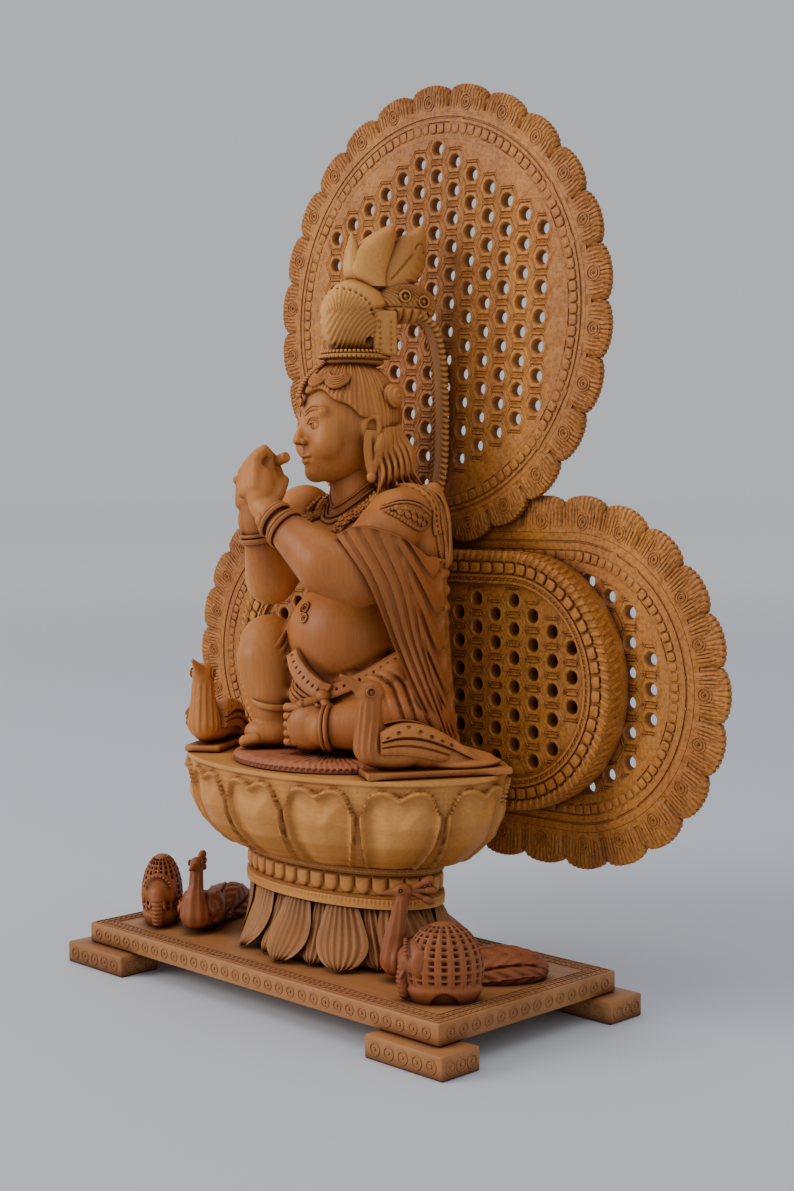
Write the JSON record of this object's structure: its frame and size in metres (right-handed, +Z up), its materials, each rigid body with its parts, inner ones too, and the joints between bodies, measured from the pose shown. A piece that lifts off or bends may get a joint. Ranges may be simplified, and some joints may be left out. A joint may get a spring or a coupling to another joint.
{
  "type": "carved wooden krishna figure",
  "caption": "Carved wooden flute player seated on a lotus before pierced oval screens and a round halo, on a footed plinth with small birds and elephants.",
  "frame": {"origin": "on the floor, under the middle of the whole carving's box", "axes": "+Z up; the figure faces -Y; +X is the figure's own left; the screens stand at +Y"},
  "size_m": [0.317, 0.113, 0.379],
  "materials": {
    "plinth_wood": "oiled, dark in the carving",
    "seat_wood": "oiled, smooth",
    "screen_wood": "oiled, finely carved",
    "figure_wood": "oiled, smooth with a soft sheen",
    "animal_wood": "oiled, dark in the carving"
  },
  "bodies": {
    "root": {"plinth_board": "plinth_wood", "plinth_foot_front_left": "plinth_wood", "plinth_foot_front_right": "plinth_wood", "plinth_foot_back_left": "plinth_wood", "plinth_foot_back_right": "plinth_wood", "lotus_foot": "seat_wood", "drum_band": "seat_wood", "lotus_seat": "seat_wood", "seat_mat": "animal_wood", "back_screen": "screen_wood", "front_screen": "screen_wood", "halo_screen": "screen_wood", "krishna_figure": "figure_wood", "flute": "figure_wood", "seat_bird_left": "figure_wood", "seat_bird_right": "figure_wood", "peacock_left": "animal_wood", "peacock_right": "animal_wood", "elephant_left": "animal_wood", "elephant_right": "animal_wood"}
  },
  "joints": []
}
